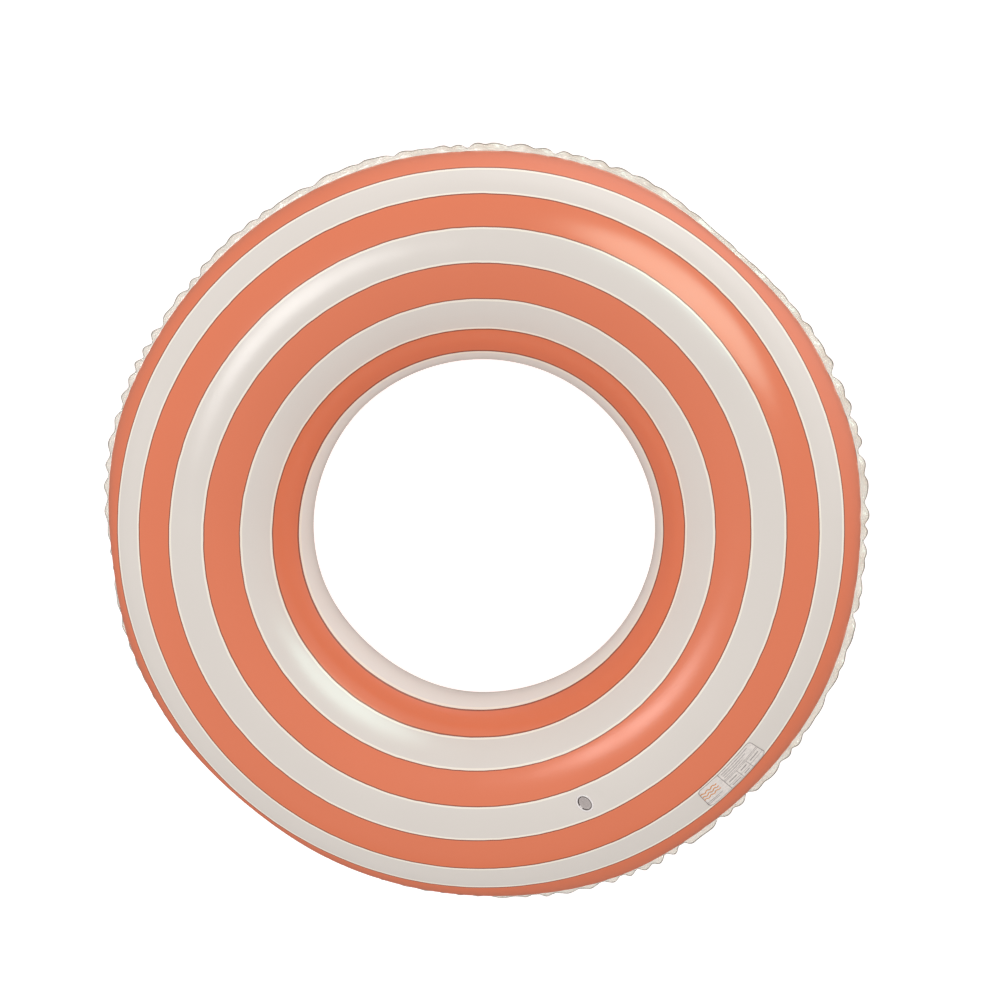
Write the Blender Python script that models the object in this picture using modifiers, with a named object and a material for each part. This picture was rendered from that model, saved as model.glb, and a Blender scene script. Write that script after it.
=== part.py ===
"""Inflatable swim ring: two printed PVC films welded into an air tube, with a push-in safety valve.

The ring lies flat on its back film. +Z is the ring's own axis and points out of the front film, and the
origin is on that axis, on the surface the ring rests on. Seen from the front, +X is right and +Y is up.

All the valve's pieces are drawn in the valve's own frame: its axis is +Z, its origin is the middle of the
film hole on the film's outer face, and its cap tether is on the -X side.
"""
import bmesh
import bpy
from math import asin, atan2, cos, pi, radians, sin
from mathutils import Matrix, Vector

# Air tube
OUTER_DIAMETER = 0.900
TUBE_R = 0.1235
FILM_T = 0.0003
LAND_HALF = 0.024
LAND_SAG = 0.0012
RING_STEPS = 64
ARC_STEPS = 6
GAP = 0.0003

# Welded margins
WELD_T = 2 * FILM_T
FRILL_ROOT = 0.0020
FRILL_FLAT = 0.0008
FRILL_WIDTH = 0.0105
FRILL_WAVES = 116
FRILL_HEIGHT = 0.0035
INNER_SEAM_WIDTH = 0.008

# Valve
VALVE_ANGLE = radians(-68.8)
VALVE_RADIAL_OFFSET = 0.0066
TETHER_ANGLE = radians(225)
VALVE_STEPS = 32
FILM_HOLE_R = 0.0098
FILM_HOLE_CUT = 0.010
FLANGE_R = 0.0170
FLANGE_T = 0.0010
LIP_R = 0.0095
LIP_RISE = 0.0003
RECESS_R = 0.0092
STEM_R = 0.0065
BORE_R = 0.0045
STEM_LENGTH = 0.0130
FOOT_R = 0.0074
FOOT_T = 0.0010
COLLAR_T = 0.0005
COLLAR_SHOULDER = 0.55
COLLAR_WAIST = 0.88
COLLAR_WAIST_GAP = 0.0018
COLLAR_FOOT_GAP = 0.0004
CAP_R = 0.0073
CAP_T = 0.0012
CAP_EDGE = 0.0003
PLUG_R = 0.0042
PLUG_TIP_R = 0.0035
PLUG_LENGTH = 0.0035
FLAP_R = 0.0056
FLAP_T = 0.0005
TETHER_WIDTH = 0.0030
TETHER_T = 0.0005
TETHER_CLEARANCE = 0.00045
TETHER_ROOT_DROP = 0.0024
TETHER_BEND_DROP = 0.0018
TETHER_TOP_DROP = 0.0004
TETHER_HINGE_RISE = 0.0006
TETHER_END_RISE = 0.00105
TETHER_BOW = 0.0001
HINGE_X = -0.0082
HINGE_RISE = 0.0004

# Sizes that follow from those above
RING_R = OUTER_DIAMETER / 2 - TUBE_R
LAND_Z = TUBE_R - LAND_SAG
SEAM_Z = LAND_Z
FILM_Z = SEAM_Z + LAND_Z
PANEL_RIM_Z = WELD_T / 2 + GAP
FLANGE_TOP = -FILM_T - GAP
FLANGE_BOTTOM = FLANGE_TOP - FLANGE_T
CAP_BOTTOM = -GAP
STEM_TOP = CAP_BOTTOM - GAP
STEM_BOTTOM = STEM_TOP - STEM_LENGTH
FLAP_TOP = STEM_BOTTOM - GAP

# Colours and roughness of the pieces
PRINTED_FILM = ((0.73, 0.22, 0.13), 0.35)
BACK_FILM = ((0.74, 0.66, 0.60), 0.35)
CLEAR_WELD = ((0.78, 0.70, 0.62), 0.30)
VALVE_VINYL = ((0.48, 0.42, 0.40), 0.30)


def clear_scene():
    for old in list(bpy.data.objects):
        bpy.data.objects.remove(old, do_unlink=True)


def new_collection(name):
    collection = bpy.data.collections.new(name)
    bpy.context.scene.collection.children.link(collection)
    return collection


def material(name, look):
    colour, roughness = look
    made = bpy.data.materials.new(name)
    made.use_nodes = True
    shader = made.node_tree.nodes["Principled BSDF"]
    shader.inputs["Base Color"].default_value = (*colour, 1.0)
    shader.inputs["Roughness"].default_value = roughness
    shader.inputs["Metallic"].default_value = 0.0
    return made


def mesh_object(name, bm, look, collection):
    """A mesh object with its own material, made from bm."""
    mesh = bpy.data.meshes.new(name)
    bm.to_mesh(mesh)
    bm.free()
    made = bpy.data.objects.new(name, mesh)
    mesh.materials.append(material(name, look))
    collection.objects.link(made)
    return made


def polyline(points, closed=False):
    """A chain of edges in the XZ plane."""
    bm = bmesh.new()
    verts = [bm.verts.new((x, 0.0, z)) for x, z in points]
    for start, end in zip(verts, verts[1:]):
        bm.edges.new((start, end))
    if closed:
        bm.edges.new((verts[-1], verts[0]))
    return bm


def turn(piece, steps):
    screw = piece.modifiers.new("turn", "SCREW")
    screw.axis = "Z"
    screw.angle = 2 * pi
    screw.steps = steps
    screw.render_steps = steps
    screw.use_merge_vertices = True
    screw.merge_threshold = 0.00001
    screw.use_smooth_shade = True


def thicken(piece, thickness, offset):
    """Give an open surface its thickness: offset -1 is inwards, 0 is to both sides."""
    solidify = piece.modifiers.new("thickness", "SOLIDIFY")
    solidify.thickness = thickness
    solidify.offset = offset
    solidify.use_even_offset = True


def turned(name, points, look, collection, steps, closed=False):
    """A turned piece. Its profile runs down the outer side, from top to bottom."""
    piece = mesh_object(name, polyline(points, closed), look, collection)
    turn(piece, steps)
    return piece


def panel_profile():
    """Half of the tube's section, from the outer seam over the flat land to the inner seam."""
    start = asin(PANEL_RIM_Z / TUBE_R)
    stop = atan2(LAND_Z, LAND_HALF)
    angles = [start + (stop - start) * i / ARC_STEPS for i in range(ARC_STEPS)]
    outer = [(TUBE_R * cos(a), TUBE_R * sin(a)) for a in angles]
    outer.append((LAND_HALF, LAND_Z))
    inner = [(-x, z) for x, z in reversed(outer)]
    return [(RING_R + x, z) for x, z in outer + inner]


def make_front_panel(collection, cutters):
    """The front film, with the hole that the valve comes through."""
    profile = list(reversed(panel_profile()))
    panel = turned("front_panel", profile, PRINTED_FILM, collection, RING_STEPS)
    panel.location.z = SEAM_Z
    thicken(panel, FILM_T, -1)
    bm = bmesh.new()
    bmesh.ops.create_cone(
        bm,
        cap_ends=True,
        segments=VALVE_STEPS,
        radius1=FILM_HOLE_R,
        radius2=FILM_HOLE_R,
        depth=FILM_HOLE_CUT,
    )
    cutter = mesh_object("film_hole_cutter", bm, PRINTED_FILM, cutters)
    cutter.location = valve_place()
    cutter.hide_render = True
    cutter.display_type = "WIRE"
    cut = panel.modifiers.new("film_hole", "BOOLEAN")
    cut.operation = "DIFFERENCE"
    cut.solver = "EXACT"
    cut.object = cutter


def make_back_panel(collection):
    """The back film, the mirror image of the front one without the hole."""
    profile = [(x, -z) for x, z in panel_profile()]
    panel = turned("back_panel", profile, BACK_FILM, collection, RING_STEPS)
    panel.location.z = SEAM_Z
    thicken(panel, FILM_T, -1)


def make_outer_seam(collection):
    """The outer weld: a flat root between the two films' rims, and a frill that waves up and down."""
    bm = bmesh.new()
    steps = 2 * FRILL_WAVES
    film_r = OUTER_DIAMETER / 2
    ring = bmesh.ops.create_circle(bm, segments=steps, radius=film_r - FRILL_ROOT)["verts"]
    edges = list(bm.edges)
    for radius in (film_r + FRILL_FLAT, film_r + FRILL_WIDTH):
        grown = bmesh.ops.extrude_edge_only(bm, edges=edges)["geom"]
        ring = [item for item in grown if isinstance(item, bmesh.types.BMVert)]
        edges = [
            item
            for item in grown
            if isinstance(item, bmesh.types.BMEdge) and all(vert in ring for vert in item.verts)
        ]
        for vert in ring:
            vert.co *= radius / vert.co.length
    for vert in ring:
        half_wave = round(atan2(vert.co.y, vert.co.x) / (pi / FRILL_WAVES))
        vert.co.z = FRILL_HEIGHT if half_wave % 2 else -FRILL_HEIGHT
    bmesh.ops.recalc_face_normals(bm, faces=bm.faces)
    frill = mesh_object("outer_seam", bm, CLEAR_WELD, collection)
    frill.location.z = SEAM_Z
    thicken(frill, WELD_T, 0)


def make_inner_seam(collection):
    """The inner weld, turned into the air chamber so that the edge of the hole is smooth."""
    edge_r = RING_R - TUBE_R
    profile = [(edge_r, 0.0), (edge_r + INNER_SEAM_WIDTH, 0.0)]
    seam = turned("inner_seam", profile, CLEAR_WELD, collection, RING_STEPS)
    seam.location.z = SEAM_Z
    thicken(seam, WELD_T, 0)


def valve_place():
    """The middle of the film hole, on the outer face of the front film."""
    reach = RING_R + VALVE_RADIAL_OFFSET
    return Vector((reach * cos(VALVE_ANGLE), reach * sin(VALVE_ANGLE), FILM_Z))


def make_valve_frame(collection):
    """The empty that every piece of the valve hangs on."""
    frame = bpy.data.objects.new("valve_frame", None)
    frame.location = valve_place()
    frame.rotation_euler.z = TETHER_ANGLE - pi
    collection.objects.link(frame)
    return frame


def make_valve_flange(collection, valve):
    """The disc welded under the film, with a lip that stands up through the film hole."""
    profile = [
        (LIP_R, LIP_RISE),
        (LIP_R, FLANGE_TOP),
        (FLANGE_R, FLANGE_TOP),
        (FLANGE_R, FLANGE_BOTTOM),
        (RECESS_R, FLANGE_BOTTOM),
        (RECESS_R, LIP_RISE),
    ]
    flange = turned("valve_flange", profile, VALVE_VINYL, collection, VALVE_STEPS, closed=True)
    flange.parent = valve


def make_valve_collar(collection, valve):
    """The thin cup between flange and stem, which rolls over when the stem is pushed in or pulled out."""
    top = FLANGE_BOTTOM - GAP
    bottom = STEM_BOTTOM + FOOT_T + GAP
    depth = top - bottom
    profile = [
        (LIP_R + COLLAR_T, top),
        (LIP_R, top - COLLAR_SHOULDER * depth),
        (STEM_R + COLLAR_WAIST_GAP, top - COLLAR_WAIST * depth),
        (STEM_R + COLLAR_FOOT_GAP, bottom),
    ]
    collar = turned("valve_collar", profile, VALVE_VINYL, collection, VALVE_STEPS)
    collar.parent = valve
    thicken(collar, COLLAR_T, -1)


def make_valve_stem(collection, valve):
    """The tube that is blown into, with a foot at its lower end."""
    profile = [
        (STEM_R, STEM_TOP),
        (STEM_R, STEM_BOTTOM + FOOT_T),
        (FOOT_R, STEM_BOTTOM + FOOT_T),
        (FOOT_R, STEM_BOTTOM),
        (BORE_R, STEM_BOTTOM),
        (BORE_R, STEM_TOP),
    ]
    stem = turned("valve_stem", profile, VALVE_VINYL, collection, VALVE_STEPS, closed=True)
    stem.parent = valve


def make_valve_cap(collection, valve):
    """The cap: a disc with a tapered plug. Its origin is on its hinge, at the tether."""
    top = CAP_BOTTOM + CAP_T
    outline = [
        (0.0, top),
        (CAP_R - CAP_EDGE, top),
        (CAP_R, top - CAP_EDGE),
        (CAP_R, CAP_BOTTOM),
        (PLUG_R, CAP_BOTTOM),
        (PLUG_TIP_R, CAP_BOTTOM - PLUG_LENGTH),
        (0.0, CAP_BOTTOM - PLUG_LENGTH),
    ]
    cap = turned("valve_cap", outline, VALVE_VINYL, collection, VALVE_STEPS)
    hinge = bpy.data.objects.new("cap_hinge_axis", None)
    hinge.location = (HINGE_X, 0.0, HINGE_RISE)
    hinge.parent = valve
    collection.objects.link(hinge)
    cap.parent = hinge
    cap.location = (-HINGE_X, 0.0, -HINGE_RISE)


def make_valve_flap(collection, valve):
    """The check flap under the stem, hinged at its edge on the side away from the tether."""
    bm = bmesh.new()
    bmesh.ops.create_cone(
        bm, cap_ends=True, segments=VALVE_STEPS, radius1=FLAP_R, radius2=FLAP_R, depth=FLAP_T
    )
    flap = mesh_object("valve_flap", bm, VALVE_VINYL, collection)
    flap.data.transform(Matrix.Translation((-FLAP_R, 0.0, -FLAP_T / 2)))
    flap.parent = valve
    flap.location = (FLAP_R, 0.0, FLAP_TOP)


def make_cap_tether(collection, valve):
    """The strap that loops from the stem to the edge of the cap."""
    path = [
        (-STEM_R - TETHER_CLEARANCE, STEM_TOP - TETHER_ROOT_DROP),
        (HINGE_X + TETHER_BOW, STEM_TOP - TETHER_BEND_DROP),
        (HINGE_X - TETHER_BOW, STEM_TOP - TETHER_TOP_DROP),
        (HINGE_X, STEM_TOP + TETHER_HINGE_RISE),
        (-CAP_R - TETHER_CLEARANCE, STEM_TOP + TETHER_END_RISE),
    ]
    bm = polyline(path)
    grown = bmesh.ops.extrude_edge_only(bm, edges=list(bm.edges))["geom"]
    side = [item for item in grown if isinstance(item, bmesh.types.BMVert)]
    bmesh.ops.translate(bm, verts=side, vec=(0.0, TETHER_WIDTH, 0.0))
    bmesh.ops.translate(bm, verts=list(bm.verts), vec=(0.0, -TETHER_WIDTH / 2, 0.0))
    tether = mesh_object("cap_tether", bm, VALVE_VINYL, collection)
    tether.parent = valve
    thicken(tether, TETHER_T, 0)


def main():
    clear_scene()
    ring = new_collection("inflatable_pool_float")
    cutters = new_collection("cutters")
    make_front_panel(ring, cutters)
    make_back_panel(ring)
    make_outer_seam(ring)
    make_inner_seam(ring)
    valve = make_valve_frame(ring)
    make_valve_flange(ring, valve)
    make_valve_collar(ring, valve)
    make_valve_stem(ring, valve)
    make_valve_cap(ring, valve)
    make_valve_flap(ring, valve)
    make_cap_tether(ring, valve)


main()
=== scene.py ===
"""The looks of the inflatable swim ring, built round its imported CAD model.

The ring lies flat, +Z out of its front film. A place on the air tube is given by two angles: theta goes
round the ring's axis from +X, and phi round the tube's section, 0 at the outer weld, 90 degrees on top and
180 degrees at the inner weld. The back film has the same phi, counted downwards.
"""

from math import atan2, cos, hypot, pi, radians, sin

import bpy
import numpy as np
from mathutils import Matrix, Vector


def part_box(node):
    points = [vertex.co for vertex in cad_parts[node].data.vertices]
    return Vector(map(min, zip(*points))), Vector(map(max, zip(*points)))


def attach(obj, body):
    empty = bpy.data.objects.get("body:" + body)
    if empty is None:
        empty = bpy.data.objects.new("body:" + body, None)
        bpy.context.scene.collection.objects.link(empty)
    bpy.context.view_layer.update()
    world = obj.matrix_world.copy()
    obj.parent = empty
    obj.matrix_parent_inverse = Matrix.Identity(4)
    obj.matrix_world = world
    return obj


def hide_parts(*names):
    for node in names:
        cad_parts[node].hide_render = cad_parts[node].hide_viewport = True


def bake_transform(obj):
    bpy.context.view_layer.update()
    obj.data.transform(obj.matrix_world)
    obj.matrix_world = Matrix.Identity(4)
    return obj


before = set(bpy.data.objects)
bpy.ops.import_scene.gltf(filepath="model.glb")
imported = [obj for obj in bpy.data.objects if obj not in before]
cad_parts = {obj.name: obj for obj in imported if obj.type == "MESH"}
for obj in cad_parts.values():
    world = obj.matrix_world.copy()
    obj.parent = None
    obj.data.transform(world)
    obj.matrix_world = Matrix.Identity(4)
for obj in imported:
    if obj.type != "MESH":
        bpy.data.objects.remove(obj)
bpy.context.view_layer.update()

# Places taken from the CAD model, in metres
FRONT_LOW, FRONT_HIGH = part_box("front_panel")
BACK_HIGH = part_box("back_panel")[1]
FLANGE_LOW, FLANGE_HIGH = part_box("valve_flange")
STEM_LOW, STEM_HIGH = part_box("valve_stem")
CAP_LOW, CAP_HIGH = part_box("valve_cap")
SEAM_Z = (FRONT_LOW.z + BACK_HIGH.z) / 2
FILM_Z = FRONT_HIGH.z
OUTER_R = FRONT_HIGH.x
VALVE_X = (FLANGE_LOW.x + FLANGE_HIGH.x) / 2
VALVE_Y = (FLANGE_LOW.y + FLANGE_HIGH.y) / 2

# The air tube
TUBE_R = 0.1235
RING_R = OUTER_R - TUBE_R
OVAL = 0.0025
OVAL_ANGLE = radians(-22.5)
THREE_LOBE = 0.00055
SEAM_SWELLS = (
    # angle and width in degrees, how far the weld stands out of the circle there, or in if negative
    (47, 11, -0.0076),
    (186, 8, -0.0056),
    (229, 11, -0.0092),
    (291, 12, 0.0052),
    (163, 9, 0.0032),
    (13, 9, 0.0044),
    (334, 13, 0.0031),
    (275, 20, 0.0026),
    (55, 14, -0.0017),
    (93, 6, -0.0013),
    (140, 22, -0.0024),
)
SEAM_SWELL_REACH = radians(34)
HOLE_SWELLS = (
    # angle and width in degrees, how much nearer the tube's outside the edge of the hole is there
    (0, 20, 0.0027),
    (200, 18, 0.0017),
    (259, 22, 0.0032),
    (157, 16, -0.0018),
    (120, 25, -0.0007),
)
HOLE_SWELL_START = radians(135)
REST_SOFTNESS = 0.0010
REST_SINK = 0.15
# Rows of a film: from and to in degrees of phi, and steps, closest near the outer weld and its puckers
FILM_ROWS = ((0, 36, 24), (36, 126, 40), (126, 180, 15))

# Ruffles of the outer weld, and the puckers that they press into the films. A drift is a sum of sines, each
# with its strength, its waves to a turn and its phase
WAVES = 116
COLUMNS = 14 * WAVES
PHASE_DRIFT = ((1.3, 7, 1.0), (1.0, 13, 2.3), (0.8, 23, 0.7))
HEIGHT_DRIFT = ((0.28, 5, 0.4), (0.25, 31, 1.9), (0.15, 47, 0.0))
WIDTH_DRIFT = ((0.08, 17, 0.5), (0.05, 61, 0.0))
CREASE_DRIFT = ((0.50, 19, 0.9), (0.35, 41, 2.0))
RUFFLE_SHARPNESS = 0.96
FOLD_SOFTNESS = 0.03
SEAM_WAVE = 0.0011
SEAM_WAVE_REACH = radians(6)
CREASE_DEPTH = 0.0009
CREASE_START = radians(2.5)
CREASE_REACH = radians(9)
CREASE_SOFTNESS = 0.02
CREASE_SKEW = 0.4
# Angle and width in degrees, and by what share the ruffles or the frill's width are less there
RUFFLE_CALMS = ((47, 11, 0.5), (95, 30, 0.2))
FRILL_NARROWS = ((47, 11, 0.25), (97, 22, 0.12))
# Stretches in degrees where the frill droops, and where it ruffles only down: starts, full, eases, ends
DROOPS = (140, 215, 262, 306)
DOWNWARDS = (98, 112, 298, 312)

# The frill and the inner weld
FRILL_WIDTH = 0.0106
FRILL_TUCK = 0.0006
FRILL_T = 0.0005
FRILL_ROWS = 10
FRILL_BEND = 0.30
FRILL_SWING = 1.10
FRILL_DROOP = 1.15
FRILL_CALM = 0.70
WELD_LINE_WIDTH = 0.0026
WELD_LINE_ROWS = 2
TRIM_WIDTH = 0.0012
INNER_WELD_WIDTH = 0.008
INNER_WELD_T = 0.0008
INNER_WELD_SHOWS = 0.0002
INNER_WELD_STEPS = COLUMNS // 4
INNER_WELD_ARC_STEPS = 7

# The print: edges of the stripes in degrees of phi, every second band coral, and widths of the fine lines
STRIPE_EDGES = (8.0, 38.3, 57.4, 77.2, 95.8, 115.6, 134.7, 156.6)
PALE_LINE_WIDTH = 1.0
DARK_LINE_WIDTH = 0.62
LINE_STRETCH_FROM = 0.1
LINE_WOBBLE = 0.0006
# How far the print has slipped round the tube: waves to a turn, cosine and sine part in degrees
PRINT_SLIP = ((1, 1.74, 0.98), (2, 0.63, -1.88))
CREAM = (0.80, 0.735, 0.675)
CORAL = (0.83, 0.205, 0.092)
PALE_LINE = (1.0, 0.92, 0.80)
DARK_LINE = (0.33, 0.085, 0.045)
WELD_EDGE = (1.0, 0.90, 0.82)
# The cream of the innermost band, round the hole, painted lighter than CREAM: painted light that makes up
# for the shade on the hole's wall
INNER_CREAM_PAINTED_LIGHTER = (0.89, 0.84, 0.785)
CLEAR_VINYL = (0.85, 0.82, 0.75)
TRIMMED_EDGE = (0.36, 0.33, 0.28)
GREY_VINYL = (0.53, 0.465, 0.445)
# Pale vinyl of the valve's lip and strap, painted near-white; on the lip it is partly a painted highlight
# round the rolled edge
PALE_VINYL_AND_RIM_HIGHLIGHT = (1.0, 0.93, 0.91)

# The valve. Heights are from the front film's top, and an edge is measured from the oval recess
TETHER_ANGLE = radians(225)
RECESS_LONG = 0.0093
RECESS_SHORT = 0.0067
RECESS_ANGLE = radians(-45)
LIP_WIDTH = 0.0024
LIP_RISE = 0.0008
LIP_ROLL = 0.45
LIP_TURN = (25, 50, 75, 90, 115)
LIP_FOOT = -0.0022
FILM_UNDER_LIP = 0.8
# The lip's outer end, and below it the flange's edge: distance outwards, and height
LIP_END = ((LIP_WIDTH, 0.00005), (0.75 * LIP_WIDTH, -0.0001), (0.75 * LIP_WIDTH, -0.0004))
FLANGE_R = (FLANGE_HIGH.x - FLANGE_LOW.x) / 2
FLANGE_EDGE = ((-0.0004, -0.0005), (0.0, -0.0010), (-0.0002, -0.0016))
FLANGE_PRINT = 0.00025
FLANGE_STEP = 0.0016
SEAT_R = 0.0115
SEAT_FADE = 0.019
STEM_TOP = STEM_HIGH.z - FILM_Z
STEM_BOTTOM = STEM_LOW.z - FILM_Z
STEM_OUTER = 0.0060
STEM_BORE = 0.0045
MOUTH_CORNER = 0.0005
# The bevel inside the mouth, and the fillet between side and foot: distance outwards, and height
MOUTH_BEVEL = (0.0003, 0.0004)
STEM_FILLET = ((0.0, 0.0016), (0.0002, 0.0011))
FOOT_OUTER = 0.0065
FOOT_CORNER = 0.0003
CUP_TOP = -0.0021
CUP_BOTTOM = STEM_BOTTOM + 0.0013
CUP_T = 0.0004
CUP_OUTSIDE_RECESS = 0.0002
CUP_OUTSIDE_FOOT = 0.0001
CUP_OVAL_PART = 0.1
CUP_STEEPNESS = 1.2
CUP_ROWS = 12
LID_TOP = CAP_HIGH.z - FILM_Z
LID_UNDER = LID_TOP - 0.0012
PLUG_TIP = CAP_LOW.z - FILM_Z
LID_GAP = 0.0009
LID_SHIFT = 0.0003
LID_CORNER = 0.0005
# From the dish's middle over its raised ring to the rim: how far from the lid's edge, and from its top
LID_DISH = (
    (-1.0, -0.0004),
    (-0.0049, -0.0004),
    (-0.0045, -0.0001),
    (-0.0041, -0.0001),
    (-0.0037, -0.0004),
    (-0.0026, -0.0004),
    (-0.0021, -0.0001),
    (-0.0017, 0.0),
)
LID_MIDDLE = 0.05
LID_SIDE = ((0.0, -0.0009), (-0.0003, -0.0012))
# The plug, down its outside, round its tip and up inside: distance from the axis, and height
PLUG = (
    (0.0042, LID_UNDER),
    (0.0041, LID_UNDER - 0.0006),
    (0.0036, PLUG_TIP + 0.0005),
    (0.0033, PLUG_TIP),
    (0.0024, PLUG_TIP),
    (0.0022, PLUG_TIP + 0.0006),
    (0.0020, LID_UNDER - 0.0005),
    (0.0004, LID_UNDER - 0.0008),
)
# The strap's route from the stem's side to the lid's edge: distance from the axis, and height
STRAP_ROUTE = (
    (0.0060, -0.0036),
    (0.0066, -0.0032),
    (0.0069, -0.0020),
    (0.0070, -0.0006),
    (0.0064, 0.0002),
    (0.0053, 0.0004),
)
STRAP_HALF_ANGLE = 24
STRAP_WAIST = 0.25
STRAP_CLEARANCE = 0.0004
STRAP_T = 0.0004
STRAP_ROWS = 21
STRAP_COLUMNS = 13
WINDOW = 0.021
WINDOW_RINGS = 9
WINDOW_CROWDING = 0.8
ROUND_STEPS = 72
BEARINGS = np.arange(ROUND_STEPS) * 2 * pi / ROUND_STEPS

# The label. Its places are metres from its middle: u round the ring, v up the tube
LABEL_THETA = radians(-43.95)
LABEL_PHI = radians(50.2)
LABEL_LENGTH = 0.0885
LABEL_WIDTH = 0.0370
LABEL_CORNER = 0.006
LABEL_DIVIDER = -0.0120
LABEL_RULES = (0.0035, 0.0012, -0.0100)
LABEL_RULE_WIDTH = 0.0006
LABEL_BOX_TOP = 0.0012
LABEL_BOXES = (0.34, 0.62)
LABEL_BARS = (
    # height, half the thickness, and start and end as shares of the part right of the divider
    (0.0145, 0.0004, 0.06, 0.86),
    (0.0108, 0.0004, 0.06, 0.74),
    (0.0071, 0.0004, 0.06, 0.60),
    (-0.0045, 0.0008, 0.06, 0.28),
    (-0.0045, 0.0008, 0.40, 0.57),
    (-0.0045, 0.0008, 0.68, 0.93),
    (-0.0140, 0.0008, 0.06, 0.30),
    (-0.0140, 0.0008, 0.40, 0.55),
)
LABEL_LEFT = -0.045
LABEL_LEFT_BARS = ((-0.0085, 0.0005, 0.024), (-0.0115, 0.0005, 0.018))
MARK_START, MARK_END = -0.0440, -0.0200
MARK_LINES = (0.0105, 0.0050, -0.0005)
MARK_LINE_WIDTH = 0.0016
MARK_WAVE = 0.0012
MARK_WAVE_LENGTH = 0.008
INK = (0.34, 0.29, 0.27)
LABEL_GROUND = (0.85, 0.775, 0.725)
LABEL_MARK = (0.75, 0.30, 0.08)
INK_RISE = 0.00012
INK_T = 0.00006
OUTLINE_WIDTH = 0.0008
INK_STEP = 0.0025
LABEL_CORNER_STEPS = 8
GROUND_ROWS, GROUND_COLUMNS = 33, 45
MARK_STEPS = 33


# ---------------------------------------------------------------- shape of the tube


def smooth(t):
    """A soft step from 0 to 1."""
    t = np.clip(t, 0.0, 1.0)
    return t * t * (3 - 2 * t)


def sines(theta, drift):
    """A drift's sum of sines."""
    return sum(strength * np.sin(waves * theta + phase) for strength, waves, phase in drift)


def bell(theta, angle, width):
    """1 at an angle given in degrees, falling to 0 round it."""
    away = np.angle(np.exp(1j * (theta - radians(angle))))
    return np.exp(-((away / radians(width)) ** 2))


def bells(theta, places):
    """A sum of bells, each with its angle, width and height."""
    return sum(height * bell(theta, angle, width) for angle, width, height in places)


def along(theta, stretch):
    """1 inside a stretch of the ring and 0 outside it."""
    start, full, eases, end = stretch
    turn = np.degrees(theta) % 360
    return smooth((turn - start) / (full - start)) * (1 - smooth((turn - eases) / (end - eases)))


def ruffle_phase(theta):
    """The ruffle's phase: WAVES waves to a turn, unevenly spaced."""
    return WAVES * theta + sines(theta, PHASE_DRIFT)


def ruffle_height(theta):
    """How strongly the weld ruffles there: 1 on average, and calmer where the weld stands in most."""
    height = 1 + sines(theta, HEIGHT_DRIFT)
    for angle, width, share in RUFFLE_CALMS:
        height = height * (1 - share * bell(theta, angle, width))
    return height


def ruffle(theta):
    """The ruffle between -1 and 1. It swings up and down in turn where the frill stands out, and only
    down, once in every wave, where it hangs."""
    swing = np.arcsin(RUFFLE_SHARPNESS * np.sin(ruffle_phase(theta) / 2)) / np.arcsin(RUFFLE_SHARPNESS)
    down = np.sqrt(FOLD_SOFTNESS + (1 - FOLD_SOFTNESS) * swing**2)
    downwards = along(theta, DOWNWARDS)
    return (1 - downwards) * swing - downwards * down


def tube_middle(theta):
    """The radius of the line through the middle of the tube, which is a little oval."""
    return RING_R + OVAL * np.cos(2 * (theta - OVAL_ANGLE)) - THREE_LOBE * np.cos(3 * theta)


def seam_line(theta):
    """Radius and height of the outer weld, where films and frill meet."""
    radius = tube_middle(theta) + TUBE_R + bells(theta, SEAM_SWELLS)
    height = SEAM_Z + SEAM_WAVE * ruffle_height(theta) * ruffle(theta)
    return radius, height


def seat_into(x, y, z):
    """The front film lies flat on the valve's flange, whose edge shows through as a faint step."""
    away = np.hypot(x - VALVE_X, y - VALVE_Y)
    seat = 1 - smooth((away - SEAT_R) / SEAT_FADE)
    step = FLANGE_PRINT * (1 - smooth((away - FLANGE_R + FLANGE_STEP / 2) / FLANGE_STEP))
    return z * (1 - seat) + FILM_Z * seat + step


def film_points(theta, phi, side):
    """Points of a film: side is 1 for the front film and -1 for the back one."""
    height = ruffle_height(theta)
    fold = np.sin(ruffle_phase(theta) / 2 + CREASE_SKEW * side) ** 2
    crease = (1 - np.sqrt(CREASE_SOFTNESS + (1 - CREASE_SOFTNESS) * fold)) ** 2
    reach = CREASE_REACH * (1 + sines(theta, CREASE_DRIFT))
    fade = smooth(phi / CREASE_START) * np.exp(-phi / reach)
    radius = TUBE_R - CREASE_DEPTH * height * crease * fade
    near_weld = 1 - smooth(phi / SEAM_SWELL_REACH)
    near_hole = smooth((phi - HOLE_SWELL_START) / (pi - HOLE_SWELL_START))
    across = tube_middle(theta) + radius * np.cos(phi)
    across += bells(theta, SEAM_SWELLS) * near_weld + bells(theta, HOLE_SWELLS) * near_hole
    rise = side * radius * np.sin(phi)
    rise += SEAM_WAVE * height * ruffle(theta) * np.exp(-phi / SEAM_WAVE_REACH)
    x, y, z = across * np.cos(theta), across * np.sin(theta), SEAM_Z + rise
    if side > 0:
        z = seat_into(x, y, z)
    else:
        z = 0.5 * (z + np.sqrt(z * z + REST_SOFTNESS**2)) - REST_SINK * REST_SOFTNESS
    return np.stack([x, y, z], axis=-1)


def print_shift(theta):
    """How far the print has slipped round the tube, in degrees of phi."""
    return sum(a * np.cos(waves * theta) + b * np.sin(waves * theta) for waves, a, b in PRINT_SLIP)


def film_rows():
    parts = [np.linspace(low, high, steps, endpoint=False) for low, high, steps in FILM_ROWS]
    return np.radians(np.append(np.concatenate(parts), 180))


# ---------------------------------------------------------------- meshes


def as_lists(values):
    return values.tolist() if isinstance(values, np.ndarray) else values


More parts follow.
